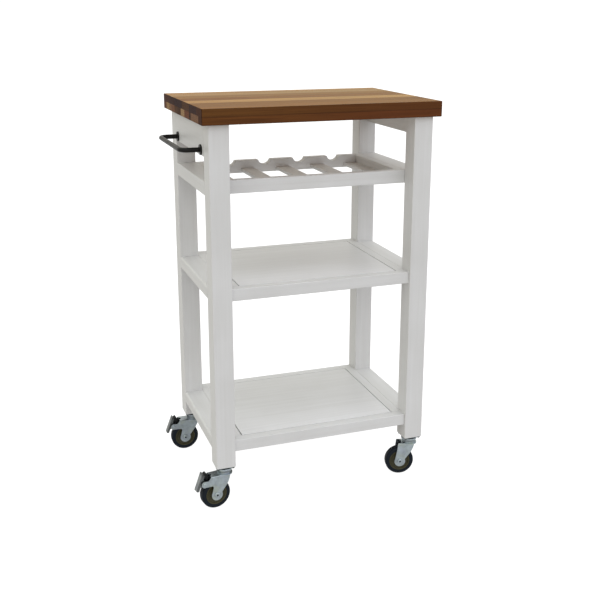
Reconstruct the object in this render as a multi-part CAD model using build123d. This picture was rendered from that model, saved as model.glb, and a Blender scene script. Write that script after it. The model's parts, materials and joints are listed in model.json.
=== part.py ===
from build123d import *
import os
import math

# Rolling kitchen cart: thick butcher-block top on four square legs, bottle
# rack, two shelves, side handle and four swivel casters.
# Millimetres, +Z up, +X to the cart's right, front of the cart towards -Y.
# Origin: on the floor, below the centre of the whole cart's box.

# ---------------------------------------------------------------- dimensions
TOP_W, TOP_D, TOP_T = 548.0, 385.0, 34.5      # worktop width, depth, thickness
TOP_Z = 918.0                                 # height of the working surface
TOP_R = 1.6                                   # arris of the worktop

CASTER_H = 102.0                              # floor to leg bottom
LEG = 45.0                                    # square leg section
LEG_X, LEG_Y = 258.5, 181.0                   # outer leg faces from the centre
LEG_R = 1.6                                   # arris of legs and rails
IN_X, IN_Y = LEG_X - LEG, LEG_Y - LEG         # inner leg faces

LRAIL_H, RRAIL_H, TRAIL_T = 72.0, 46.0, 20.0  # top side rails

RACK_TOP, RACK_H = 758.0, 30.0                # bottle rack frame
RACK_Y, RACK_RAIL_T, RACK_SIDE_T = 136.0, 20.0, 18.0
RACK_FRONT_T = 18.0                           # front rail of the rack
SLAT_W, SLAT_T, SLAT_LIFT, SLAT_PITCH, SLAT_TENON = 34.0, 8.0, 4.0, 90.0, 5.0
NOTCH_R, NOTCH_RISE = 17.6, 5.8               # bottle neck scallops

MID_TOP, BOT_TOP, SHELF_H = 524.0, 164.2, 27.0
SHELF_Y = 175.5                               # front face of the shelf frame
SHELF_RAIL_D, STILE_W = 22.5, 22.5
PANEL_GAP, PANEL_T, LEDGE = 2.0, 12.0, 8.0
RAIL_SOFT = 5.0                               # rounded top outer edge of the lower side rails

DOWEL_R, DOWEL_IN, FIT = 4.0, 15.0, 0.05      # dowels and screw clearance

BAR_R, BAR_Z, BAR_Y = 5.3, 824.0, 113.4       # handle bar
BAR_OUT, BAR_BEND = 302.0, 17.0               # bar centre line, bend radius
FLANGE_R, FLANGE_T = 11.5, 3.6

WHEEL_R, WHEEL_W, TYRE_IN = 35.0, 20.0, 25.5  # caster wheel
TRAIL = 24.0                                  # swivel axis to axle
AXLE_R, BORE_R = 4.0, 4.05
ARM_IN, ARM_T = 11.6, 2.5                     # fork arms
FORK_TOP, WEB_T = 83.0, 2.6                   # top of the fork's web
PLATE, PLATE_T = 42.0, 2.5                    # caster plate
PLATE_HOLE = 17.2                             # screw holes from plate centre
NECK_R, NECK_Z = 13.0, 96.9                   # neck under the plate, upper ball race
CUP_R, CUP_TOP, CUP_T = 19.0, 96.1, 3.2       # swivel cup on the fork, lower ball race
CUP_RIM, CUP_BODY = 4.4, 16.0                 # height of the cup's rim, radius below it
BALL_R, BALL_RING, BALLS = 2.0, 10.2, 14
KING_R, KING_BORE = 4.2, 4.25
PIN_X, PIN_Z, PIN_R = -53.5, 67.5, 2.5        # brake lever pin from the swivel axis
LEVER_HALF, LEVER_T = 8.5, 1.6                # brake lever half width and sheet
LOCK_DEG = 18.0                               # lever travel to the locked stop
REST_TURN = {"front_left": 9.0, "front_right": -13.0,  # how far each caster is turned
             "back_left": 0.0, "back_right": -4.0}     # from trailing straight to -X

CORNERS = {"front_left": (-1, -1), "front_right": (1, -1),
           "back_left": (-1, 1), "back_right": (1, 1)}
LEG_CX, LEG_CY = LEG_X - LEG / 2, LEG_Y - LEG / 2
UNDER = TOP_Z - TOP_T                         # underside of the worktop
WOODSCREW_R = 2.4

parts = {}


def block(x0, x1, y0, y1, z0, z1):
    return Pos((x0 + x1) / 2, (y0 + y1) / 2, (z0 + z1) / 2) * Box(x1 - x0, y1 - y0, z1 - z0)


def eased(solid, axis, r):
    """A stick of timber with its long edges eased."""
    return fillet(solid.edges().filter_by(axis), r)


def rod(p0, p1, r):
    """A round bar from p0 to p1."""
    a, b = Vector(*p0), Vector(*p1)
    d = b - a
    return Plane(origin=a, z_dir=d) * Pos(0, 0, d.length / 2) * Cylinder(r, d.length)


def outline(points):
    """A closed face in the XZ plane."""
    face = make_face(Polyline(*[(x, z) for x, z in points], close=True))
    return Plane.XZ * face


def slab(face, y0, y1):
    """The XZ face swept from y0 to y1."""
    return Pos(0, y1, 0) * extrude(face, amount=y1 - y0, dir=(0, -1, 0))


def woodscrew(tip, head, shank_r=WOODSCREW_R, head_r=4.4, head_t=2.8, cross=True):
    """A countersunk-free pan head screw: the shank runs from the tip to the head's seat."""
    a, b = Vector(*tip), Vector(*head)
    d = (b - a).normalized()
    length = (b - a).length
    shank = Plane(origin=a, z_dir=d) * Pos(0, 0, length / 2 + 3) * Cylinder(shank_r, length - 6)
    point = Plane(origin=a, z_dir=d) * Pos(0, 0, 3) * Cone(0.4, shank_r, 6)
    cap = Plane(origin=b, z_dir=d) * Pos(0, 0, head_t / 2) * Cylinder(head_r, head_t)
    cap = fillet(cap.edges().sort_by(lambda e: -(e.center() - a).dot(d))[0:1], min(1.4, head_t * 0.55))
    screw = shank + point + cap
    if cross:
        top = Plane(origin=b + d * head_t, z_dir=d)
        screw -= top * Pos(0, 0, -0.6) * Box(head_r * 1.15, 0.9, 1.4)
        screw -= top * Pos(0, 0, -0.6) * Box(0.9, head_r * 1.15, 1.4)
    return screw


# ------------------------------------------------------------------- timber
# square legs
legs = {}
for name, (sx, sy) in CORNERS.items():
    leg = block(min(sx * IN_X, sx * LEG_X), max(sx * IN_X, sx * LEG_X),
                min(sy * IN_Y, sy * LEG_Y), max(sy * IN_Y, sy * LEG_Y), CASTER_H, UNDER)
    legs[name] = eased(leg, Axis.Z, LEG_R)

# the worktop, every arris softened
top = block(-TOP_W / 2, TOP_W / 2, -TOP_D / 2, TOP_D / 2, UNDER, TOP_Z)
top = fillet(top.edges(), TOP_R)

# side rails between the legs of each side
rails = {
    "left_handle_rail": block(-LEG_X, -LEG_X + TRAIL_T, -IN_Y, IN_Y, UNDER - LRAIL_H, UNDER),
    "right_top_rail": block(LEG_X - TRAIL_T, LEG_X, -IN_Y, IN_Y, UNDER - RRAIL_H, UNDER),
}
levels = {"rack": (RACK_TOP - RACK_H, RACK_TOP), "mid": (MID_TOP - SHELF_H, MID_TOP),
          "bottom": (BOT_TOP - SHELF_H, BOT_TOP)}
for level, (z0, z1) in levels.items():
    rails[f"left_{level}_rail"] = block(-LEG_X, -IN_X, -IN_Y, IN_Y, z0, z1)
    rails[f"right_{level}_rail"] = block(IN_X, LEG_X, -IN_Y, IN_Y, z0, z1)


def side_rail(name, solid):
    """Long edges eased; the lower side rails have a rounder top outer edge."""
    if "mid" not in name and "bottom" not in name:
        return eased(solid, Axis.Y, 1.2)
    long_edges = solid.edges().filter_by(Axis.Y)
    outer = [e for e in long_edges.group_by(Axis.Z)[-1] if abs(abs(e.center().X) - LEG_X) < 0.01]
    solid = fillet(outer, RAIL_SOFT)
    z_mid = (solid.bounding_box().min.Z + solid.bounding_box().max.Z) / 2
    rest = [e for e in solid.edges().filter_by(Axis.Y)
            if e.center().Z < z_mid or abs(e.center().X) < LEG_X - LEG + 1]
    return fillet(rest, 1.2)


rails = {n: side_rail(n, s) for n, s in rails.items()}

# bottle rack: front rail, scalloped back rail, side pieces and slats
rack_z0 = RACK_TOP - RACK_H
rack_in = RACK_Y - RACK_RAIL_T
rack_front_in = RACK_Y - RACK_FRONT_T
rack_front = block(-IN_X, IN_X, -RACK_Y, -rack_front_in, rack_z0, RACK_TOP)
rack_front = fillet(rack_front.edges(), 1.0)
rack_back = block(-IN_X, IN_X, rack_in, RACK_Y, rack_z0, RACK_TOP)
for i in (-1.5, -0.5, 0.5, 1.5):
    rack_back -= Pos(i * SLAT_PITCH, (rack_in + RACK_Y) / 2, RACK_TOP + NOTCH_RISE) * Rot(90, 0, 0) \
        * Cylinder(NOTCH_R, RACK_RAIL_T + 2)
top_edges = [e for e in rack_back.edges()
             if abs(e.center().Y - rack_in) < 0.01 or abs(e.center().Y - RACK_Y) < 0.01]
top_edges = [e for e in top_edges if e.bounding_box().min.Z > rack_z0 + 8]
rack_back = fillet(top_edges, 1.0)
slat_z0 = rack_z0 + SLAT_LIFT
slats = []
for i in range(-2, 3):
    x0, x1 = i * SLAT_PITCH - SLAT_W / 2, i * SLAT_PITCH + SLAT_W / 2
    if i == 2:
        x1 = IN_X - RACK_SIDE_T
    if i == -2:
        x0 = -IN_X + RACK_SIDE_T
    pocket = block(x0, x1, -rack_front_in - SLAT_TENON, rack_in + SLAT_TENON, slat_z0, slat_z0 + SLAT_T)
    rack_front -= pocket
    rack_back -= pocket
    slats.append(eased(pocket, Axis.Y, 0.8))
rack_sides = [eased(block(min(s * IN_X, s * (IN_X - RACK_SIDE_T)), max(s * IN_X, s * (IN_X - RACK_SIDE_T)),
                          -rack_front_in, rack_in, rack_z0, RACK_TOP), Axis.Y, 1.2) for s in (-1, 1)]


# shelves: a rebated frame around a flush panel with a groove all round it
def shelf(z1):
    z0 = z1 - SHELF_H
    zl = z1 - PANEL_T                       # top of the ledge that carries the panel
    y_in = SHELF_Y - SHELF_RAIL_D
    x_in = IN_X - STILE_W
    front = block(-IN_X, IN_X, -SHELF_Y, -y_in, z0, z1)
    front = fillet(front.edges(), 1.2)
    front += block(-x_in, x_in, -y_in - 1.5, -y_in + LEDGE + PANEL_GAP, z0, zl)
    back = block(-IN_X, IN_X, y_in, SHELF_Y, z0, z1)
    back = fillet(back.edges(), 1.2)
    back += block(-x_in, x_in, y_in - LEDGE - PANEL_GAP, y_in + 1.5, z0, zl)
    stiles = []
    for s in (-1, 1):
        st = eased(block(min(s * x_in, s * IN_X), max(s * x_in, s * IN_X), -y_in, y_in, z0, z1), Axis.Y, 1.2)
        xl = x_in - LEDGE - PANEL_GAP
        st += block(min(s * xl, s * (x_in + 1.5)), max(s * xl, s * (x_in + 1.5)),
                    -y_in + LEDGE + PANEL_GAP, y_in - LEDGE - PANEL_GAP, z0, zl)
        stiles.append(st)
    px, py = x_in - PANEL_GAP, y_in - PANEL_GAP
    panel = block(-px, px, -py, py, zl, z1)
    panel = fillet(panel.edges().group_by(Axis.Z)[-1], 0.9)
    return front, back, stiles, panel


shelves = {"mid_shelf": list(shelf(MID_TOP)), "bottom_shelf": list(shelf(BOT_TOP))}

# ------------------------------------------------------------------- dowels
dowels = []
holes = {}          # solid name -> cutters


def drill(names, p0, p1, r, extra=0.3):
    """Drill the named timbers for a pin that lies from p0 to p1."""
    a, b = Vector(*p0), Vector(*p1)
    d = (b - a).normalized() * extra
    cutter = rod(tuple(a - d), tuple(b + d), r)
    for n in names:
        holes.setdefault(n, []).append(cutter)


def dowel(names, p0, p1):
    dowels.append(rod(p0, p1, DOWEL_R))
    drill(names, p0, p1, DOWEL_R + FIT)


for side, sx in (("left", -1), ("right", 1)):
    for end, sy in (("front", -1), ("back", 1)):
        leg = f"{end}_{side}"
        y0, y1 = sy * (IN_Y - DOWEL_IN), sy * (IN_Y + DOWEL_IN)
        # top rail: two dowels above each other
        name = "left_handle_rail" if sx < 0 else "right_top_rail"
        h = LRAIL_H if sx < 0 else RRAIL_H
        for z in (UNDER - 11, UNDER - h + 11):
            x = sx * (LEG_X - TRAIL_T / 2)
            dowel([name, leg], (x, y0, z), (x, y1, z))
        # lower rails: two side by side
        for level, (z0, z1) in levels.items():
            for dx in (-11.5, 11.5):
                x = sx * LEG_CX + dx
                z = z0 + (8.0 if level == "rack" else SHELF_H / 2)
                dowel([f"{side}_{level}_rail", leg], (x, y0, z), (x, y1, z))
        # shelf frame rails into the legs
        for level, zt in (("mid_shelf", MID_TOP), ("bottom_shelf", BOT_TOP)):
            y = sy * (SHELF_Y - SHELF_RAIL_D / 2)
            z = zt - 13
            x0, x1 = sx * (IN_X - DOWEL_IN), sx * (IN_X + DOWEL_IN)
            dowel([f"{level}_{end}_rail", leg], (x0, y, z), (x1, y, z))
        # rack rails into the side rails
        y = sy * (RACK_Y - RACK_RAIL_T / 2)
        z = rack_z0 + 22
        x0, x1 = sx * (IN_X - DOWEL_IN), sx * (IN_X + 10)
        dowel([f"rack_{end}_rail", f"{side}_rack_rail"], (x0, y, z), (x1, y, z))
        # rack side pieces into the side rails
        y = sy * 70
        x0, x1 = sx * (IN_X - 10), sx * (IN_X + 12)
        dowel([f"rack_side_{side}", f"{side}_rack_rail"], (x0, y, z), (x1, y, z))

# ------------------------------------------------------------------- screws
# worktop screws: up through counterbores in the top side rails
top_screws = []
for side, sx in (("left", -1), ("right", 1)):
    name = "left_handle_rail" if sx < 0 else "right_top_rail"
    h = LRAIL_H if sx < 0 else RRAIL_H
    x = sx * (LEG_X - TRAIL_T / 2)
    for y in (-62, 62):
        seat = UNDER - 26
        top_screws.append(woodscrew((x, y, UNDER + 20), (x, y, seat)))
        drill([name], (x, y, UNDER), (x, y, seat), WOODSCREW_R + 0.1)
        holes[name].append(rod((x, y, seat), (x, y, UNDER - h - 1), 5.2))
        drill(["worktop"], (x, y, UNDER - 1), (x, y, UNDER + 20.5), WOODSCREW_R + FIT, 0.0)

# shelf screws: from the ledges of the stiles into the side rails
shelf_screws = []
for level, rail, zt in (("mid_shelf", "mid", MID_TOP), ("bottom_shelf", "bottom", BOT_TOP)):
    for side, sx in (("left", -1), ("right", 1)):
        for y in (-85, 85):
            z = zt - SHELF_H + 7
            seat = IN_X - STILE_W - LEDGE - PANEL_GAP + 3.2
            shelf_screws.append(woodscrew((sx * (IN_X + 22), y, z), (sx * seat, y, z)))
            drill([f"{level}_stile_{side}"], (sx * seat, y, z), (sx * (IN_X + 1), y, z), WOODSCREW_R + 0.1)
            holes[f"{level}_stile_{side}"].append(rod((sx * (seat - 6), y, z), (sx * seat, y, z), 5.2))
            drill([f"{side}_{rail}_rail"], (sx * (IN_X - 1), y, z), (sx * (IN_X + 22.5), y, z), WOODSCREW_R + FIT, 0.0)

# ------------------------------------------------------------------- handle
rail_face = -LEG_X
path = FilletPolyline((rail_face, -BAR_Y, BAR_Z), (-BAR_OUT, -BAR_Y, BAR_Z),
                      (-BAR_OUT, BAR_Y, BAR_Z), (rail_face, BAR_Y, BAR_Z), radius=BAR_BEND)
bar = sweep(Plane(origin=path @ 0, z_dir=path % 0) * Circle(BAR_R), path=path)
flanges, handle_screws = [], []
for sy in (-1, 1):
    y = sy * BAR_Y
    disc = rod((rail_face, y, BAR_Z), (rail_face - FLANGE_T, y, BAR_Z), FLANGE_R)
    disc = fillet(disc.edges().sort_by(Axis.X)[0:1], 1.4)
    flanges.append(disc - rod((rail_face + 1, y, BAR_Z), (rail_face - FLANGE_T - 1, y, BAR_Z), BAR_R + FIT))
    bar -= rod((rail_face + 1, y, BAR_Z), (rail_face - 18, y, BAR_Z), 2.5 + FIT)
    inner = rail_face + TRAIL_T
    handle_screws.append(woodscrew((rail_face - 17, y, BAR_Z), (inner, y, BAR_Z), 2.5, 4.8, 3.0))
    drill(["left_handle_rail"], (inner, y, BAR_Z), (rail_face, y, BAR_Z), 2.75)

# -------------------------------------------------------- assemble the timber
timber = dict(legs)
timber.update(rails)
timber["worktop"] = top
timber["rack_front_rail"] = rack_front
timber["rack_back_rail"] = rack_back
timber["rack_side_left"], timber["rack_side_right"] = rack_sides
for level, (front, back, stiles, panel) in shelves.items():
    timber[f"{level}_front_rail"] = front
    timber[f"{level}_back_rail"] = back
    timber[f"{level}_stile_left"], timber[f"{level}_stile_right"] = stiles
    timber[f"{level}_panel"] = panel


# ------------------------------------------------------------------ casters
# Modelled round the swivel axis at x = y = 0, floor at z = 0, trailing to -X.
def arm_outline(brake):
    """Side view of a fork arm."""
    ax, az, lobe = -TRAIL, WHEEL_R, 13.4
    zt = FORK_TOP
    hub = Plane.XZ * Pos(ax, az) * Circle(lobe)
    right = [(20, zt), (16.4, 82), (14.2, 78.0), (8.8, 69.0), (1.8, 58.0), (ax + lobe - 1.4, az + 5)]
    if not brake:
        return hub + outline([(-28.8, zt)] + right + [(ax, az), (ax - lobe + 0.7, az + 4),
                                                      (-33.6, 51.5), (-31.0, 66)])
    body = outline([(-37.5, zt)] + right + [(ax, az), (ax - lobe + 1.2, az + 5), (-32.0, 56.2), (-34.5, 59.6),
                                            (PIN_X + 3, 60.2), (PIN_X - 6.5, 64), (PIN_X - 6.5, 71),
                                            (PIN_X - 1, 75.2), (-44.5, 74.8), (-39.5, 80.6)])
    return hub + body + Plane.XZ * Pos(PIN_X, PIN_Z) * Circle(7.6)


def plan(half, x_left):
    """Top view of the fork: straight sides and a round front."""
    return Rectangle(-x_left, 2 * half, align=(Align.MAX, Align.CENTER)) + Circle(half)


def make_fork(brake):
    w = ARM_IN + ARM_T
    web_end = -37.5 if brake else -22.0
    # pressed channel: flat arms joined by the top web and a rounded front
    outer = extrude(plan(w, -75.0), amount=FORK_TOP - 18).moved(Location((0, 0, 18)))
    soft = [e for e in outer.edges().group_by(Axis.Z)[-1] if e.center().X > -74]
    outer = fillet(soft, 1.8)
    inner = extrude(plan(ARM_IN, -80.0), amount=FORK_TOP - WEB_T - 8).moved(Location((0, 0, 8)))
    fork = outer - inner
    fork -= block(-90, web_end, -ARM_IN, ARM_IN, 8, 100)
    fork -= Pos(web_end, 0, FORK_TOP) * Cylinder(9.0 if not brake else 5.0, 12)
    fork = fork & slab(arm_outline(brake), -w - 1, w + 1)
    # swivel cup standing on the web
    cup = Pos(0, 0, (FORK_TOP - WEB_T + CUP_TOP) / 2) * Cylinder(CUP_R, CUP_TOP - FORK_TOP + WEB_T)
    cup = fillet(cup.edges().group_by(Axis.Z)[-1], 2.4)
    rim_h = CUP_TOP - CUP_RIM - FORK_TOP
    cup -= Pos(0, 0, FORK_TOP + rim_h / 2) * (Cylinder(CUP_R + 2, rim_h) - Cylinder(CUP_BODY, rim_h))
    fork += cup
    fork -= Pos(0, 0, (FORK_TOP + CUP_TOP - CUP_T) / 2) * Cylinder(CUP_BODY - 2.6, CUP_TOP - CUP_T - FORK_TOP)
    fork -= Pos(0, 0, FORK_TOP - 1) * Cylinder(11.0, 10)
    fork -= Pos(0, 0, CUP_TOP) * Cylinder(KING_BORE, 20)
    fork -= Pos(0, 0, (CUP_TOP + NECK_Z) / 2) * Torus(BALL_RING, BALL_R + FIT)
    fork -= rod((-TRAIL, -30, WHEEL_R), (-TRAIL, 30, WHEEL_R), AXLE_R + FIT)
    if brake:
        fork -= rod((PIN_X, -30, PIN_Z), (PIN_X, 30, PIN_Z), PIN_R + FIT)
    return fork


def make_plate():
    z0 = CASTER_H - PLATE_T
    plate = block(-PLATE / 2, PLATE / 2, -PLATE / 2, PLATE / 2, z0, CASTER_H)
    plate = fillet(plate.edges().filter_by(Axis.Z), 3.0)
    plate = fillet(plate.edges().group_by(Axis.Z)[0], 0.7)
    plate += Pos(0, 0, (NECK_Z + CASTER_H) / 2 - 0.5) * Cylinder(NECK_R, CASTER_H - 1 - NECK_Z)
    plate -= Pos(0, 0, z0) * Cylinder(KING_R + FIT, 20)
    plate -= Pos(0, 0, CASTER_H - 0.7) * Cylinder(7.0 + FIT, 1.6)
    plate -= Pos(0, 0, (CUP_TOP + NECK_Z) / 2) * Torus(BALL_RING, BALL_R + FIT)
    for sx in (-1, 1):
        for sy in (-1, 1):
            plate -= Pos(sx * PLATE_HOLE, sy * PLATE_HOLE, z0) * Cylinder(2.1, 12)
    return plate


def make_kingpin():
    z_under = CUP_TOP - CUP_T
    pin = Pos(0, 0, (z_under - 1 + CASTER_H - 0.2) / 2) * Cylinder(KING_R, CASTER_H - 0.2 - z_under + 1)
    pin += Pos(0, 0, CASTER_H - 0.2 - 0.6) * Cylinder(7.0, 1.2)
    head = Pos(0, 0, z_under - 0.3 - 1.6) * Cylinder(8.0, 3.2)
    return pin + fillet(head.edges().group_by(Axis.Z)[0], 1.5)


def make_balls():
    z = (CUP_TOP + NECK_Z) / 2
    return [Pos(BALL_RING * math.cos(a), BALL_RING * math.sin(a), z) * Sphere(BALL_R)
            for a in (2 * math.pi * (k + 0.5) / BALLS for k in range(BALLS))]


def make_core():
    """Moulded wheel core turned about the axle: hub, dished web, rim."""
    half = [(BORE_R, 0), (BORE_R, 11.1), (9.6, 11.1), (10.4, 10.3), (10.4, 7.8), (12.4, 6.7),
            (17.6, 6.3), (21.2, 7.0), (22.3, 8.6), (23.2, 9.2), (TYRE_IN - 0.2, 9.2), (TYRE_IN, 8.6), (TYRE_IN, 0)]
    pts = half + [(r, -h) for r, h in reversed(half[1:-1])]
    face = make_face(Polyline(*[(r, h) for r, h in pts], close=True))
    return face


def make_tyre():
    r0, r1, w = TYRE_IN, WHEEL_R, WHEEL_W / 2
    ring = Cylinder(r1, 2 * w) - Cylinder(r0, 2 * w + 2)
    outer = [e for e in ring.edges() if e.length > 2 * math.pi * (r1 - 0.5)]
    ring = fillet(outer, 4.4)
    inner = [e for e in ring.edges().filter_by(GeomType.CIRCLE)
             if abs(e.radius - r0) < 0.01 and abs(e.center().Z) > w - 0.2]
    ring = chamfer(inner, 0.6)
    return Pos(-TRAIL, 0, WHEEL_R) * Rot(90, 0, 0) * ring


def make_axle():
    """Hollow axle rivet with a domed, rolled head at each end."""
    y = ARM_IN + ARM_T
    axle = rod((-TRAIL, -y, WHEEL_R), (-TRAIL, y, WHEEL_R), AXLE_R)
    for s in (-1, 1):
        head = rod((-TRAIL, s * y, WHEEL_R), (-TRAIL, s * (y + 2.4), WHEEL_R), 6.6)
        rim = head.edges().sort_by(Axis.Y)
        head = fillet((rim[-1:] if s > 0 else rim[0:1]), 1.9)
        axle += head
        axle -= rod((-TRAIL, s * (y - 8), WHEEL_R), (-TRAIL, s * (y + 4), WHEEL_R), 2.4)
    return axle


def make_lever():
    """Brake lever: a pressed channel with its foot plate outside, two cheeks on the pin and a cam that meets the tyre."""
    tyre_dir = math.atan2(WHEEL_R - PIN_Z, -TRAIL - PIN_X)
    gap = math.hypot(PIN_X + TRAIL, PIN_Z - WHEEL_R) - WHEEL_R
    nose = tyre_dir - math.radians(LOCK_DEG)
    h = LEVER_HALF
    foot = slab(outline([(-55.8, 92.0), (-53.5, 91.2), (-69.1, 50.1), (-71.4, 50.9)]), -h, h)
    foot = fillet(foot.edges().filter_by(lambda e: e.length < 2.6 and abs(e.center().Y) > h - 0.1), 0.9)
    cheek = outline([(-54.6, 90.4), (-51.4, 88.2), (-55.4, 77.8), (-50.2, 73.8), (PIN_X + 5.0, PIN_Z + 2.5),
                     (PIN_X + 4.2, PIN_Z - 3.4), (PIN_X - 1.0, PIN_Z - 5.4), (-62.4, 60.4), (-66.2, 50.6), (-69.4, 51.0)])
    lever = foot
    for s in (-1, 1):
        lever += slab(cheek, min(s * h, s * (h - LEVER_T)), max(s * h, s * (h - LEVER_T)))
    # bosses that keep the lever in the middle of the fork
    lever += rod((PIN_X, -ARM_IN + 0.5, PIN_Z), (PIN_X, ARM_IN - 0.5, PIN_Z), 4.4)
    # cam between the cheeks
    nx, nz = math.cos(nose), math.sin(nose)
    reach = gap - 0.4 - 2.6
    cam = Plane.XZ * (Pos(PIN_X, PIN_Z) * Circle(4.8))
    tip = Plane.XZ * (Pos(PIN_X + nx * reach, PIN_Z + nz * reach) * Circle(2.6))
    tx, tz = -nz, nx
    web = outline([(PIN_X + tx * 4.6, PIN_Z + tz * 4.6), (PIN_X + nx * reach + tx * 2.55, PIN_Z + nz * reach + tz * 2.55),
                   (PIN_X + nx * reach - tx * 2.55, PIN_Z + nz * reach - tz * 2.55), (PIN_X - tx * 4.6, PIN_Z - tz * 4.6)])
    lever += slab(cam + tip + web, -h + LEVER_T - 0.1, h - LEVER_T + 0.1)
    lever -= rod((PIN_X, -30, PIN_Z), (PIN_X, 30, PIN_Z), PIN_R + FIT)
    return lever


def make_tab():
    """Black moulded release tab held between the lever's cheeks, its back against the foot plate."""
    w = LEVER_HALF - LEVER_T - 0.1
    tab = slab(outline([(-54.7, 88.0), (-46.9, 92.4), (-39.4, 78.2), (-46.2, 74.8), (-55.6, 85.6)]), -w, w)
    return fillet(tab.edges(), 0.8)


def make_lever_pin():
    y = ARM_IN + ARM_T
    pin = rod((PIN_X, -y, PIN_Z), (PIN_X, y, PIN_Z), PIN_R)
    for s in (-1, 1):
        head = rod((PIN_X, s * y, PIN_Z), (PIN_X, s * (y + 1.6), PIN_Z), 4.2)
        rim = head.edges().sort_by(Axis.Y)
        pin += fillet((rim[-1:] if s > 0 else rim[0:1]), 1.2)
    return pin


# caster screws go up into the leg ends
def caster_screws(at):
    out = []
    z0 = CASTER_H - PLATE_T
    for sx in (-1, 1):
        for sy in (-1, 1):
            x, y = at.X + sx * PLATE_HOLE, at.Y + sy * PLATE_HOLE
            out.append(woodscrew((x, y, CASTER_H + 26), (x, y, z0), 1.9, 3.6, 2.2))
    return out


plate, kingpin, balls = make_plate(), make_kingpin(), make_balls()
core = Pos(-TRAIL, 0, WHEEL_R) * (Rot(90, 0, 0) * revolve(Plane.XZ * make_core(), Axis.Z))
tyre, axle = make_tyre(), make_axle()
forks = {False: make_fork(False), True: make_fork(True)}
lever, tab, lever_pin = make_lever(), make_tab(), make_lever_pin()

all_balls, kingpins, plate_screws = [], [], []
for name, (sx, sy) in CORNERS.items():
    spot = Vector(sx * LEG_CX, sy * LEG_CY, 0)
    still = Pos(spot.X, spot.Y, 0)
    at = still * Rot(0, 0, REST_TURN[name])
    braked = sx < 0
    parts[f"{name}_caster_plate"] = still * plate
    parts[f"{name}_caster_fork"] = at * forks[braked]
    parts[f"{name}_wheel_core"] = at * core
    parts[f"{name}_tyre"] = at * tyre
    parts[f"{name}_axle"] = at * axle
    if braked:
        parts[f"{name}_brake_lever"] = at * lever
        parts[f"{name}_brake_tab"] = at * tab
        parts[f"{name}_brake_pin"] = at * lever_pin
    all_balls += [still * b for b in balls]
    kingpins.append(still * kingpin)
    plate_screws += caster_screws(spot)
    for px in (-1, 1):
        for py in (-1, 1):
            x, y = spot.X + px * PLATE_HOLE, spot.Y + py * PLATE_HOLE
            drill([name], (x, y, CASTER_H - 1), (x, y, CASTER_H + 26.5), 1.9 + FIT, 0.0)

# ------------------------------------------------------------ drill and group
for n, cutters in holes.items():
    s = timber[n]
    for c in cutters:
        s -= c
    timber[n] = s

for n, s in timber.items():
    if n in CORNERS:
        parts[f"{n}_leg"] = s
    elif "rack_side" not in n and "_stile_" not in n:
        parts[n] = s
parts["rack_side_pieces"] = [timber["rack_side_left"], timber["rack_side_right"]]
parts["rack_slats"] = slats
for level in ("mid_shelf", "bottom_shelf"):
    parts[f"{level}_stiles"] = [timber[f"{level}_stile_left"], timber[f"{level}_stile_right"]]
parts["handle_bar"] = bar
parts["handle_flanges"] = flanges
parts["handle_screws"] = handle_screws
parts["worktop_screws"] = top_screws
parts["shelf_screws"] = shelf_screws
parts["frame_dowels"] = dowels
parts["caster_plate_screws"] = plate_screws
parts["caster_kingpins"] = kingpins
parts["caster_balls"] = all_balls

# --------------------------------------------------------------------- export
# the origin lies under the centre of the whole cart's box
boxes = [b.bounding_box() for shape in parts.values() for b in (shape if isinstance(shape, list) else [shape])]
x_min, x_max = min(b.min.X for b in boxes), max(b.max.X for b in boxes)
y_min, y_max = min(b.min.Y for b in boxes), max(b.max.Y for b in boxes)
XC, YC = -(x_min + x_max) / 2, -(y_min + y_max) / 2
os.makedirs("parts", exist_ok=True)
shift = Pos(XC, YC, 0)
for name, shape in parts.items():
    if isinstance(shape, list):
        out = Compound(children=[(shift * s).solids()[0] for s in shape])
    else:
        found = (shift * shape).solids()
        out = found[0] if len(found) == 1 else Compound(children=list(found))
        if len(found) != 1:
            print("note:", name, "has", len(found), "solids")
    export_step(out, f"parts/{name}.step")
print(len(parts), "nodes; cart centre at x", XC, "y", YC)
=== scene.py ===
import json
import math
import bpy
from mathutils import Matrix, Vector


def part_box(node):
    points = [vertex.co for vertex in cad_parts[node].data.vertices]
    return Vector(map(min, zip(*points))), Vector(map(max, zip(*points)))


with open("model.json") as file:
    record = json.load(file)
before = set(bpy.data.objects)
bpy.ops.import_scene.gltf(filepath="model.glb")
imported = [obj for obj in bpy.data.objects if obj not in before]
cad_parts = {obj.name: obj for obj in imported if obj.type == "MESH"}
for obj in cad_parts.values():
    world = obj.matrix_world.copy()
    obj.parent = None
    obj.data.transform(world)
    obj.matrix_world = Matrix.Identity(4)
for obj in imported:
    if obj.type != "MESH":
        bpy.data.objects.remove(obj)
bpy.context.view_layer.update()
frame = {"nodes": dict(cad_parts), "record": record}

nodes = frame["nodes"]
scene = bpy.context.scene

# the middle of the worktop in the row frame
XC = [m for m in frame["record"]["mounts"] if m["name"] == "worktop"][0]["pos_m"][0]
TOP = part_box("worktop")[1][2]        # height of the working surface
LAYER = TOP - 0.0172                 # glue line between the worktop's two layers

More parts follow.
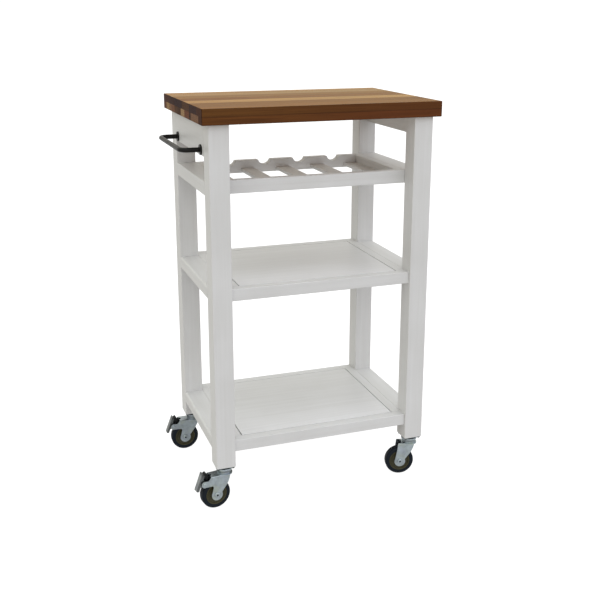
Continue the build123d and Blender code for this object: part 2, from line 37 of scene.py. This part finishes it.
# ------------------------------------------------------------------ camera
yaw, pitch, roll = math.radians(19.918), math.radians(15.495), math.radians(0.153)
fwd = Vector((math.sin(yaw) * math.cos(pitch), math.cos(yaw) * math.cos(pitch), -math.sin(pitch)))
right = Vector((math.cos(yaw), -math.sin(yaw), 0.0))
up = right.cross(fwd)
r2 = math.cos(roll) * right + math.sin(roll) * up
u2 = -math.sin(roll) * right + math.cos(roll) * up
cam_data = bpy.data.cameras.new("camera")
cam_data.lens = 55.75
cam_data.sensor_width = 36.0
cam_data.sensor_fit = "HORIZONTAL"
cam_data.shift_x = -0.01397
cam_data.shift_y = -0.05595
cam_data.clip_start, cam_data.clip_end = 0.05, 100.0
cam = bpy.data.objects.new("camera", cam_data)
scene.collection.objects.link(cam)
cam.matrix_world = Matrix((
    (r2.x, u2.x, -fwd.x, XC - 0.7165),
    (r2.y, u2.y, -fwd.y, -2.0535),
    (r2.z, u2.z, -fwd.z, TOP + 0.1964),
    (0, 0, 0, 1)))
scene.camera = cam

# ------------------------------------------------------------ node helpers


class Tree:
    """A material's node tree, with short names for the nodes used here."""

    def __init__(self, name):
        self.mat = bpy.data.materials.new(name)
        self.mat.use_nodes = True
        self.t = self.mat.node_tree
        self.t.nodes.clear()
        self.out = self.t.nodes.new("ShaderNodeOutputMaterial")
        self.bsdf = self.t.nodes.new("ShaderNodeBsdfPrincipled")
        self.t.links.new(self.bsdf.outputs[0], self.out.inputs["Surface"])

    def put(self, socket, value):
        if isinstance(value, bpy.types.NodeSocket):
            self.t.links.new(value, socket)
        elif value is not None:
            socket.default_value = value

    def node(self, kind, **props):
        n = self.t.nodes.new(kind)
        for k, v in props.items():
            setattr(n, k, v)
        return n

    def coords(self):
        return self.node("ShaderNodeTexCoord").outputs["Object"]

    def normal(self):
        return self.node("ShaderNodeNewGeometry").outputs["Normal"]

    def xyz(self, v):
        n = self.node("ShaderNodeSeparateXYZ")
        self.put(n.inputs[0], v)
        return n.outputs[0], n.outputs[1], n.outputs[2]

    def vec(self, x, y, z):
        n = self.node("ShaderNodeCombineXYZ")
        for s, v in zip(n.inputs, (x, y, z)):
            self.put(s, v)
        return n.outputs[0]

    def math(self, op, a, b=0.0, c=None, clamp=False):
        n = self.node("ShaderNodeMath", operation=op, use_clamp=clamp)
        self.put(n.inputs[0], a)
        self.put(n.inputs[1], b)
        if c is not None:
            self.put(n.inputs[2], c)
        return n.outputs[0]

    def vmath(self, op, a, b):
        n = self.node("ShaderNodeVectorMath", operation=op)
        self.put(n.inputs[0], a)
        self.put(n.inputs[1], b)
        return n.outputs[0]

    def scaled(self, v, s):
        return self.vmath("MULTIPLY", v, s)

    def noise(self, v, scale=1.0, detail=3.0, rough=0.5, distort=0.0, colour=False, dims="3D", w=None):
        n = self.node("ShaderNodeTexNoise", noise_dimensions=dims)
        self.put(n.inputs["Vector"], v)
        if w is not None:
            self.put(n.inputs["W"], w)
        n.inputs["Scale"].default_value = scale
        n.inputs["Detail"].default_value = detail
        n.inputs["Roughness"].default_value = rough
        n.inputs["Distortion"].default_value = distort
        return n.outputs["Color" if colour else "Fac"]

    def white(self, v, colour=False):
        n = self.node("ShaderNodeTexWhiteNoise", noise_dimensions="3D")
        self.put(n.inputs["Vector"], v)
        return n.outputs["Color" if colour else "Value"]

    def voronoi(self, v, scale, feature="F1", out="Distance", rand=1.0):
        n = self.node("ShaderNodeTexVoronoi", feature=feature)
        self.put(n.inputs["Vector"], v)
        n.inputs["Scale"].default_value = scale
        n.inputs["Randomness"].default_value = rand
        return n.outputs[out]

    def ramp(self, fac, stops, mode="LINEAR"):
        n = self.node("ShaderNodeValToRGB")
        r = n.color_ramp
        r.interpolation = mode
        while len(r.elements) < len(stops):
            r.elements.new(0.5)
        for e, (p, c) in zip(r.elements, stops):
            e.position = p
            e.color = (c, c, c, 1.0) if isinstance(c, (int, float)) else (*c, 1.0)
        self.put(n.inputs[0], fac)
        return n.outputs[0]

    def map(self, v, a, b, c, d, clamp=True, smooth=False):
        n = self.node("ShaderNodeMapRange", clamp=clamp)
        if smooth:
            n.interpolation_type = "SMOOTHSTEP"
        self.put(n.inputs[0], v)
        for i, x in enumerate((a, b, c, d)):
            n.inputs[i + 1].default_value = x
        return n.outputs[0]

    def mix(self, fac, a, b, mode="MIX"):
        n = self.node("ShaderNodeMix", data_type="RGBA", blend_type=mode)
        self.put(n.inputs[0], fac)
        for s, v in ((n.inputs[6], a), (n.inputs[7], b)):
            if isinstance(v, (int, float)):
                v = (v, v, v, 1.0)
            elif isinstance(v, tuple) and len(v) == 3:
                v = (*v, 1.0)
            self.put(s, v)
        return n.outputs[2]

    def mixf(self, fac, a, b):
        n = self.node("ShaderNodeMix", data_type="FLOAT")
        self.put(n.inputs[0], fac)
        self.put(n.inputs[2], a)
        self.put(n.inputs[3], b)
        return n.outputs[0]

    def bump(self, height, distance, strength=1.0, base=None):
        n = self.node("ShaderNodeBump")
        n.inputs["Strength"].default_value = strength
        n.inputs["Distance"].default_value = distance
        self.put(n.inputs["Height"], height)
        if base is not None:
            self.put(n.inputs["Normal"], base)
        return n.outputs[0]

    def finish(self, **sockets):
        for k, v in sockets.items():
            if isinstance(v, tuple) and len(v) == 3:
                v = (*v, 1.0)
            self.put(self.bsdf.inputs[k.replace("_", " ")], v)
        return self.mat


# --------------------------------------------------------------- materials
def paint(name, axis, shelf=False):
    """Satin white paint rolled over close-grained timber. axis is the timber's long direction, 0, 1 or 2."""
    t = Tree(name)
    p = t.coords()
    s = [420.0, 420.0, 420.0]
    s[axis] = 14.0
    grain = t.noise(t.scaled(p, tuple(s)), 1.0, 4.0, 0.6, 0.4)
    s = [95.0, 95.0, 95.0]
    s[axis] = 3.5
    broad = t.noise(t.scaled(p, tuple(s)), 1.0, 2.0, 0.5, 0.8)
    peel = t.noise(p, 900.0, 2.0, 0.55)
    cloud = t.noise(p, 7.0, 3.0, 0.55)
    tone = t.math("ADD", t.map(cloud, 0.3, 0.7, -0.012, 0.012), t.map(broad, 0.3, 0.7, -0.010, 0.010))
    base = t.mix(t.map(tone, -0.022, 0.022, 0, 1), (0.626, 0.623, 0.612), (0.704, 0.704, 0.703))
    if shelf:
        # painted light: the paint is brighter towards the front of the shelves, where more light reaches them under the
        # shelf above
        y = t.xyz(p)[1]
        base = t.mix(t.map(y, -0.010, -0.125, 0.0, 1.0), base, t.mix(1.0, base, (1.115, 1.115, 1.135), "MULTIPLY"))
    h = t.math("ADD", t.math("MULTIPLY", grain, 0.55), t.math("MULTIPLY", peel, 0.35))
    h = t.math("ADD", h, t.math("MULTIPLY", broad, 0.8))
    rough = t.map(t.math("ADD", cloud, t.math("MULTIPLY", peel, 0.4)), 0.4, 1.0, 0.33, 0.45)
    return t.finish(Base_Color=base, Roughness=rough, Normal=t.bump(h, 0.00012, 0.55), IOR=1.47)


def worktop_wood():
    """Oiled edge-glued hardwood in two layers: long staves on top, side grain in front, end grain blocks on the ends."""
    t = Tree("worktop_wood")
    p = t.coords()
    x, y, z = t.xyz(p)
    nx, ny, nz = t.xyz(t.normal())
    x = t.math("SUBTRACT", x, XC)
    anx, any_, anz = t.math("ABSOLUTE", nx), t.math("ABSOLUTE", ny), t.math("ABSOLUTE", nz)
    on_end = t.map(anx, 0.45, 0.62, 0.0, 1.0)
    on_front = t.map(any_, 0.40, 0.60, 0.0, 1.0)
    top_layer = t.math("GREATER_THAN", z, LAYER)
    yn = t.math("DIVIDE", t.math("ADD", y, 0.1925), 0.385)
    # which stave, and which length of board within it
    stave = t.ramp(yn, [(0.0, 0.02), (0.149, 0.12), (0.308, 0.22), (0.458, 0.32), (0.604, 0.42),
                        (0.752, 0.52), (0.877, 0.62)], "CONSTANT")
    sx = t.math("ADD", x, t.math("MULTIPLY", t.white(t.vec(stave, 3.1, 0.0)), 0.5))
    seg = t.math("FLOOR", t.math("DIVIDE", sx, 0.42))
    rnd = t.white(t.vec(stave, seg, top_layer))
    rnd2 = t.white(t.vec(stave, seg, 7.7))
    off = t.vec(t.math("MULTIPLY", rnd, 5.0), t.math("MULTIPLY", rnd2, 7.0), t.math("MULTIPLY", rnd, 3.0))
    xyz0 = t.vec(x, y, z)
    # figure that runs along the staves: broad bands, growth rings, fine fibres, open pores
    warp = t.noise(t.vmath("ADD", t.scaled(xyz0, (2.2, 42.0, 42.0)), off), 1.0, 3.0, 0.55, 0.6)
    rings = t.node("ShaderNodeTexWave", wave_type="BANDS", bands_direction="Y", wave_profile="SAW")
    t.put(rings.inputs["Vector"], t.vmath("ADD", t.scaled(xyz0, (1.6, 36.0, 36.0)), off))
    rings.inputs["Scale"].default_value = 1.5
    rings.inputs["Distortion"].default_value = 6.0
    rings.inputs["Detail"].default_value = 2.5
    rings.inputs["Detail Scale"].default_value = 0.9
    ring = rings.outputs["Fac"]
    fine = t.noise(t.vmath("ADD", t.scaled(xyz0, (7.0, 460.0, 460.0)), off), 1.0, 4.0, 0.65)
    streak = t.noise(t.vmath("ADD", t.scaled(xyz0, (3.6, 150.0, 150.0)), off), 1.0, 2.0, 0.5, 0.3)
    pores = t.noise(t.vmath("ADD", t.scaled(xyz0, (34.0, 1500.0, 1500.0)), off), 1.0, 2.0, 0.6)
    pore = t.map(pores, 0.60, 0.72, 0.0, 1.0)
    fig = t.math("ADD", t.math("MULTIPLY", t.map(warp, 0.28, 0.72, 0.0, 1.0), 0.42), t.math("MULTIPLY", ring, 0.20))
    fig = t.math("ADD", fig, t.math("MULTIPLY", t.map(fine, 0.28, 0.72, 0.0, 1.0), 0.16))
    fig = t.math("ADD", fig, t.math("MULTIPLY", t.map(streak, 0.30, 0.70, 0.0, 1.0), 0.22))
    # top face: tan and brown staves with one pale strip in front of the middle
    stain = t.ramp(yn, [(0.0, (0.238, 0.116, 0.029)), (0.149, (0.214, 0.104, 0.024)), (0.308, (0.402, 0.240, 0.086)),
                        (0.458, (0.210, 0.099, 0.026)), (0.604, (0.264, 0.144, 0.043)), (0.752, (0.352, 0.222, 0.095)),
                        (0.877, (0.362, 0.218, 0.087))], "CONSTANT")
    top = t.mix(1.0, stain, t.mix(fig, (0.52, 0.46, 0.38), (1.48, 1.52, 1.58)), "MULTIPLY")
    top = t.mix(t.map(rnd2, 0.0, 1.0, 0.0, 0.7), top, t.mix(1.0, top, (0.95, 0.88, 0.80), "MULTIPLY"))
    reddish = t.map(x, -0.26, 0.12, 0.55, 0.0)
    top = t.mix(reddish, top, t.mix(1.0, top, (0.98, 0.86, 0.80), "MULTIPLY"))
    # front and back faces: dark brown side grain, a warmer board at the left, redder towards the right below
    xr = t.map(x, -0.274, 0.274, 0.0, 1.0)
    upper = t.ramp(xr, [(0.0, (0.118, 0.045, 0.0084)), (0.285, (0.110, 0.040, 0.0074)), (0.51, (0.097, 0.033, 0.0060)),
                        (0.78, (0.093, 0.030, 0.0058))], "LINEAR")
    lower = t.ramp(xr, [(0.0, (0.112, 0.038, 0.0070)), (0.39, (0.106, 0.035, 0.0066)), (0.70, (0.108, 0.031, 0.0066))], "LINEAR")
    front = t.mix(top_layer, lower, upper)
    long_pos = t.vec(t.math("MULTIPLY", x, 5.0), t.math("MULTIPLY", y, 60.0), t.math("ADD", t.math("MULTIPLY", z, 190.0),
                                                                                     t.math("MULTIPLY", top_layer, 3.7)))
    soft = t.noise(long_pos, 1.0, 4.0, 0.62, 0.5)
    side_fig = t.math("ADD", t.math("MULTIPLY", t.map(soft, 0.27, 0.73, 0.0, 1.0), 0.50), t.math("MULTIPLY", fig, 0.22))
    side_fig = t.math("ADD", side_fig, t.math("MULTIPLY", t.map(fine, 0.28, 0.72, 0.0, 1.0), 0.28))
    front = t.mix(1.0, front, t.mix(side_fig, (0.54, 0.50, 0.46), (1.46, 1.50, 1.54)), "MULTIPLY")
    # end faces: dark boards above, mixed end grain blocks below
    yd = t.mixf(t.math("GREATER_THAN", nx, 0.0), yn, t.math("SUBTRACT", 1.0, yn))
    cell = t.ramp(yd, [(0.0, 0.03), (0.115, 0.13), (0.235, 0.23), (0.34, 0.33), (0.455, 0.43), (0.575, 0.53),
                       (0.69, 0.63), (0.80, 0.73), (0.90, 0.83)], "CONSTANT")
    hcell = t.ramp(yd, [(0.0, 0.07), (0.30, 0.27), (0.52, 0.47), (0.76, 0.67)], "CONSTANT")
    cell = t.mixf(top_layer, cell, hcell)
    er, er2 = t.white(t.vec(cell, top_layer, 4.4)), t.white(t.vec(cell, top_layer, 9.1))
    local = t.vec(0.0, t.math("ADD", y, t.math("MULTIPLY", er, 0.9)), t.math("ADD", z, t.math("MULTIPLY", er2, 0.7)))
    arcs = t.node("ShaderNodeTexWave", wave_type="RINGS", rings_direction="X", wave_profile="SAW")
    t.put(arcs.inputs["Vector"], local)
    arcs.inputs["Scale"].default_value = 75.0
    arcs.inputs["Distortion"].default_value = 2.6
    arcs.inputs["Detail"].default_value = 2.0
    arcs.inputs["Detail Scale"].default_value = 30.0
    speck = t.voronoi(p, 1500.0)
    eg = t.math("ADD", t.math("MULTIPLY", arcs.outputs["Fac"], 0.6), t.math("MULTIPLY", speck, 0.4))
    mottle = t.noise(p, 210.0, 3.0, 0.65, 0.8)
    eg = t.math("ADD", t.math("MULTIPLY", eg, 0.55), t.math("MULTIPLY", t.map(mottle, 0.30, 0.70, 0.0, 1.0), 0.45))
    low = t.ramp(yd, [(0.0, (0.060, 0.022, 0.010)), (0.075, (0.190, 0.098, 0.052)), (0.255, (0.050, 0.021, 0.011)),
                      (0.30, (0.150, 0.058, 0.030)), (0.415, (0.330, 0.205, 0.105)), (0.51, (0.062, 0.027, 0.012)),
                      (0.60, (0.088, 0.040, 0.018)), (0.68, (0.165, 0.072, 0.036)), (0.765, (0.205, 0.104, 0.052)),
                      (0.83, (0.300, 0.184, 0.088)), (0.915, (0.130, 0.055, 0.030))], "CONSTANT")
    low = t.mix(1.0, low, t.mix(eg, (0.40, 0.36, 0.32), (1.55, 1.58, 1.60)), "MULTIPLY")
    high = t.ramp(yd, [(0.0, (0.062, 0.0230, 0.0110)), (0.12, (0.042, 0.0190, 0.0150)), (0.295, (0.078, 0.0350, 0.0160)),
                       (0.47, (0.040, 0.0175, 0.0110)), (0.50, (0.038, 0.0180, 0.0165)), (0.68, (0.046, 0.0205, 0.0150)),
                       (0.82, (0.066, 0.0270, 0.0180))], "CONSTANT")
    high = t.mix(1.0, high, t.mix(eg, (0.50, 0.46, 0.44), (1.50, 1.52, 1.54)), "MULTIPLY")
    ends = t.mix(top_layer, low, high)
    bare = t.mix(fig, (0.40, 0.245, 0.125), (0.66, 0.45, 0.27))
    top = t.mix(t.map(nz, -0.60, -0.50, 1.0, 0.0), top, bare)
    base = t.mix(on_front, top, front)
    base = t.mix(on_end, base, ends)
    base = t.mix(t.math("MULTIPLY", pore, 0.42), base, t.mix(1.0, base, (0.42, 0.36, 0.32), "MULTIPLY"))
    # thin glue lines between staves, blocks and the two layers, and a darker colour along the arrises
    edge = t.ramp(yn, [(0.0, 1.0), (0.1465, 0.0), (0.1510, 1.0), (0.3055, 0.0), (0.3100, 1.0), (0.4555, 0.0), (0.4600, 1.0),
                       (0.6015, 0.0), (0.6060, 1.0), (0.7495, 0.0), (0.7540, 1.0), (0.8745, 0.0), (0.8790, 1.0)], "CONSTANT")
    flat = t.map(anz, 0.6, 0.9, 0.0, 1.0)
    seam = t.math("MULTIPLY", t.math("SUBTRACT", 1.0, edge), flat)
    mid = t.map(t.math("ABSOLUTE", t.math("SUBTRACT", z, LAYER)), 0.0003, 0.0008, 1.0, 0.0)
    mid = t.math("MULTIPLY", mid, t.math("SUBTRACT", 1.0, flat))
    seams = t.math("MAXIMUM", seam, mid)
    base = t.mix(t.math("MULTIPLY", seams, 0.45), base, t.mix(1.0, base, (0.35, 0.30, 0.26), "MULTIPLY"))
    face = t.math("MAXIMUM", t.math("MAXIMUM", anx, any_), anz)
    arris = t.map(face, 0.86, 0.99, 0.75, 0.0)
    base = t.mix(arris, base, t.mix(1.0, base, (0.42, 0.36, 0.32), "MULTIPLY"))
    h = t.math("SUBTRACT", t.math("MULTIPLY", fine, 0.5), t.math("MULTIPLY", pore, 0.55))
    h = t.math("SUBTRACT", h, t.math("MULTIPLY", seams, 1.2))
    rough = t.map(t.math("ADD", fig, t.math("MULTIPLY", fine, 0.5)), 0.2, 1.3, 0.46, 0.60)
    return t.finish(Base_Color=base, Roughness=rough, Normal=t.bump(h, 0.00016, 0.6), IOR=1.46,
                    Specular_IOR_Level=t.mixf(on_end, 0.12, 0.03))


def enamel():
    t = Tree("black_enamel")
    p = t.coords()
    peel = t.noise(p, 1100.0, 2.0, 0.5)
    cloud = t.noise(p, 40.0, 3.0, 0.6)
    base = t.mix(cloud, (0.0030, 0.0027, 0.0022), (0.0064, 0.0058, 0.0050))
    return t.finish(Base_Color=base, Roughness=t.map(cloud, 0.3, 0.7, 0.30, 0.40),
                    Normal=t.bump(peel, 0.00010, 0.5), IOR=1.5, Specular_IOR_Level=0.20)


def zinc(name="zinc", tint=(0.395, 0.448, 0.472), rough=(0.24, 0.40), pedal=None):
    """Bright zinc plate on pressed steel: faintly blue with patches of yellow and violet, with painted shade round the
    ball race and on the back casters.
    """
    t = Tree(name)
    p = t.coords()
    x, y, z = t.xyz(p)
    cloud = t.noise(p, 70.0, 4.0, 0.6, 0.3)
    fine = t.noise(p, 1400.0, 2.0, 0.6)
    drawn = t.noise(t.scaled(p, (260.0, 260.0, 1900.0)), 1.0, 3.0, 0.6)
    warm = t.noise(t.scaled(p, (48.0, 48.0, 70.0)), 1.0, 2.0, 0.5)
    cool = t.noise(t.vmath("ADD", t.scaled(p, (60.0, 60.0, 40.0)), (4.0, 1.0, 7.0)), 1.0, 2.0, 0.5)
    a = tuple(c * 0.78 for c in tint)
    b = tuple(min(1.0, c * 1.20) for c in tint)
    base = t.mix(t.map(cloud, 0.3, 0.7, 0, 1), a, b)
    base = t.mix(t.map(warm, 0.50, 0.70, 0.0, 0.55), base, (tint[0] * 1.08, tint[1] * 1.05, tint[2] * 0.82))
    base = t.mix(t.map(cool, 0.52, 0.72, 0.0, 0.45), base, (tint[0] * 0.98, tint[1] * 0.92, tint[2] * 1.06))
    # painted shade: the zinc darkens towards the back casters, standing in for their darker reflections, and dark bands
    # are painted where shade falls in the gap under the caster plate and under the cup's rim
    base = t.mix(t.map(y, -0.05, 0.12, 0.0, 0.45), base, t.mix(1.0, base, (0.55, 0.55, 0.55), "MULTIPLY"))
    gap = t.math("MULTIPLY", t.map(z, 0.09575, 0.09605, 0.0, 1.0), t.map(z, 0.1003, 0.1007, 1.0, 0.0))
    recess = t.math("MULTIPLY", t.map(z, 0.0835, 0.0905, 0.0, 1.0), t.map(z, 0.0914, 0.0918, 1.0, 0.0))
    base = t.mix(t.math("MULTIPLY", recess, 0.75), base, (0.050, 0.052, 0.050))
    base = t.mix(t.math("MULTIPLY", gap, 0.88), base, (0.020, 0.019, 0.016))
    if pedal:
        # painted shade: the pedal's near lip is darkened, standing in for its shade, with a dark painted shade line
        # where it meets the foot plate
        px, py, turn = pedal
        side = t.math("ADD", t.math("MULTIPLY", t.math("SUBTRACT", x, px), -math.sin(turn)),
                      t.math("MULTIPLY", t.math("SUBTRACT", y, py), math.cos(turn)))
        lip = t.map(side, -0.0066, -0.0060, 1.0, 0.0)
        line = t.math("MULTIPLY", t.map(side, -0.0071, -0.0066, 0.0, 1.0), t.map(side, -0.0054, -0.0048, 1.0, 0.0))
        base = t.mix(lip, base, t.mix(1.0, base, (0.52, 0.52, 0.51), "MULTIPLY"))
        base = t.mix(line, base, t.mix(1.0, base, (0.26, 0.26, 0.26), "MULTIPLY"))
    h = t.math("ADD", t.math("MULTIPLY", fine, 0.4), t.math("MULTIPLY", drawn, 0.4))
    return t.finish(Base_Color=base, Metallic=t.math("SUBTRACT", 1.0, t.math("MULTIPLY", gap, 0.7)),
                    Roughness=t.map(t.math("ADD", cloud, drawn), 0.6, 1.4, rough[0], rough[1]),
                    Normal=t.bump(h, 0.00006, 0.5))


def tyre_rubber():
    t = Tree("tyre_rubber")
    p = t.coords()
    cloud = t.noise(p, 60.0, 4.0, 0.6)
    grit = t.noise(p, 1600.0, 3.0, 0.6)
    base = t.mix(cloud, (0.0040, 0.0068, 0.0110), (0.0080, 0.0125, 0.0190))
    base = t.mix(t.map(grit, 0.62, 0.80, 0.0, 0.15), base, (0.040, 0.040, 0.040))
    return t.finish(Base_Color=base, Roughness=t.map(cloud, 0.3, 0.7, 0.42, 0.58), Normal=t.bump(grit, 0.00012, 0.5), IOR=1.5,
                    Specular_IOR_Level=0.14)


def core_plastic():
    t = Tree("core_plastic")
    p = t.coords()
    cloud = t.noise(p, 45.0, 4.0, 0.6)
    grit = t.noise(p, 1200.0, 3.0, 0.6)
    base = t.mix(cloud, (0.032, 0.030, 0.013), (0.066, 0.060, 0.028))
    return t.finish(Base_Color=base, Roughness=t.map(cloud, 0.3, 0.7, 0.34, 0.48), Normal=t.bump(grit, 0.00010, 0.45), IOR=1.5,
                    Specular_IOR_Level=0.22)


def black_plastic():
    t = Tree("black_plastic")
    p = t.coords()
    cloud = t.noise(p, 90.0, 3.0, 0.6)
    grit = t.voronoi(p, 1500.0)
    base = t.mix(cloud, (0.005, 0.006, 0.006), (0.011, 0.012, 0.012))
    return t.finish(Base_Color=base, Roughness=t.map(cloud, 0.3, 0.7, 0.45, 0.6), Normal=t.bump(grit, 0.00010, 0.5), IOR=1.5,
                    Specular_IOR_Level=0.2)


def bare_wood():
    t = Tree("bare_wood")
    p = t.coords()
    g = t.noise(t.scaled(p, (300.0, 300.0, 40.0)), 1.0, 4.0, 0.6)
    base = t.mix(g, (0.42, 0.27, 0.14), (0.66, 0.48, 0.30))
    return t.finish(Base_Color=base, Roughness=0.6, Normal=t.bump(g, 0.0001, 0.5))


PAINT = [paint("paint_x", 0), paint("paint_y", 1), paint("paint_z", 2), paint("paint_shelf", 0, True)]
MATS = {
    "worktop_wood": worktop_wood(), "black_enamel": enamel(), "zinc": zinc(), "steel": zinc("steel", (0.36, 0.37, 0.375)),
    "front_left_lever": zinc("lever_zinc_front", (0.300, 0.320, 0.325), (0.30, 0.46), (XC - 0.236, -0.1585, math.radians(9.0))),
    "back_left_lever": zinc("lever_zinc_back", (0.300, 0.320, 0.325), (0.30, 0.46), (XC - 0.236, 0.1585, 0.0)),
    "tyre": tyre_rubber(), "wheel_core": core_plastic(), "black_plastic": black_plastic(), "bare_wood": bare_wood(),
}
SLOT = {s["node"]: s["material_slot"] for s in frame["record"]["subparts"]}
for name, o in nodes.items():
    slot = SLOT[name]
    if slot == "white_paint":
        if name.endswith("_leg"):
            m = PAINT[2]
        elif name.endswith("shelf_panel"):
            m = PAINT[3]
        elif name.startswith(("left_", "right_")) or name.endswith(("stiles", "slats", "side_pieces")):
            m = PAINT[1]
        else:
            m = PAINT[0]
    elif name.endswith("brake_lever"):
        m = MATS[name.replace("brake_", "")]
    else:
        m = MATS[slot]
    o.data.materials.clear()
    o.data.materials.append(m)

# ------------------------------------------------------------------- studio
floor_t = Tree("floor")
p = floor_t.coords()
n = floor_t.noise(p, 3.0, 3.0, 0.5)
seen = floor_t.node("ShaderNodeLightPath").outputs["Is Camera Ray"]
floor_t.finish(Base_Color=floor_t.mix(n, (0.24, 0.24, 0.24), (0.26, 0.26, 0.26)), Roughness=0.9, Specular_IOR_Level=0.0,
               Emission_Color=(1.0, 1.0, 1.0), Emission_Strength=floor_t.mixf(seen, 0.50, 0.93))
size = 14.0
me = bpy.data.meshes.new("floor")
me.from_pydata([(-size, -size, 0), (size, -size, 0), (size, size, 0), (-size, size, 0)], [], [(0, 1, 2, 3)])
floor = bpy.data.objects.new("floor", me)
floor.data.materials.append(floor_t.mat)
floor.visible_diffuse = False
floor.visible_shadow = False
scene.collection.objects.link(floor)

# a soft light tent: broad overlapping panels, each a colour from an azimuth and an elevation in degrees
# (azimuth 0 is the front, 90 the cart's right)
TENT = [
    (0, 90, (0.341, 0.363, 0.385)), (90, -25, (0.331, 0.308, 0.293)), (270, -25, (0.348, 0.318, 0.290)),
    (0, 15, (0.674, 0.658, 0.659)), (45, 15, (0.654, 0.647, 0.650)), (90, 15, (0.436, 0.424, 0.409)),
    (135, 15, (0.427, 0.414, 0.393)), (180, 15, (0.447, 0.431, 0.401)), (225, 15, (0.385, 0.362, 0.318)),
    (270, 15, (0.407, 0.405, 0.359)), (315, 15, (0.592, 0.573, 0.527)),
    (0, 50, (0.521, 0.550, 0.606)), (60, 50, (0.510, 0.528, 0.568)), (120, 50, (0.407, 0.410, 0.400)),
    (180, 50, (0.365, 0.370, 0.334)), (240, 50, (0.313, 0.324, 0.292)), (300, 50, (0.418, 0.444, 0.445)),
]
world = bpy.data.worlds.new("world")
scene.world = world
world.use_nodes = True
wt = world.node_tree
wt.nodes.clear()
wo = wt.nodes.new("ShaderNodeOutputWorld")
wm = wt.nodes.new("ShaderNodeMixShader")
lp = wt.nodes.new("ShaderNodeLightPath")
b1, b2 = wt.nodes.new("ShaderNodeBackground"), wt.nodes.new("ShaderNodeBackground")
b2.inputs[0].default_value, b2.inputs[1].default_value = (1.0, 1.0, 1.0, 1.0), 1.05
direction = wt.nodes.new("ShaderNodeTexCoord").outputs["Generated"]
total = None
for az, el, colour in TENT:
    a, e = math.radians(az), math.radians(el)
    dot = wt.nodes.new("ShaderNodeVectorMath")
    dot.operation = "DOT_PRODUCT"
    wt.links.new(direction, dot.inputs[0])
    dot.inputs[1].default_value = (math.sin(a) * math.cos(e), -math.cos(a) * math.cos(e), math.sin(e))
    fall = wt.nodes.new("ShaderNodeMath")
    fall.operation = "MULTIPLY_ADD"
    wt.links.new(dot.outputs["Value"], fall.inputs[0])
    fall.inputs[1].default_value, fall.inputs[2].default_value = 4.0, -4.0
    soft = wt.nodes.new("ShaderNodeMath")
    soft.operation = "EXPONENT"
    wt.links.new(fall.outputs[0], soft.inputs[0])
    add = wt.nodes.new("ShaderNodeVectorMath")
    add.operation = "MULTIPLY_ADD"
    wt.links.new(soft.outputs[0], add.inputs[0])
    add.inputs[1].default_value = colour
    if total is None:
        add.inputs[2].default_value = (0.0, 0.0, 0.0)
    else:
        wt.links.new(total, add.inputs[2])
    total = add.outputs[0]
wt.links.new(total, b1.inputs[0])
b1.inputs[1].default_value = 0.79
wt.links.new(lp.outputs["Is Camera Ray"], wm.inputs[0])
wt.links.new(b1.outputs[0], wm.inputs[1])
wt.links.new(b2.outputs[0], wm.inputs[2])
wt.links.new(wm.outputs[0], wo.inputs[0])

scene.view_settings.view_transform = "Standard"
scene.view_settings.look = "None"
scene.view_settings.exposure = 0.0
scene.view_settings.gamma = 1.0
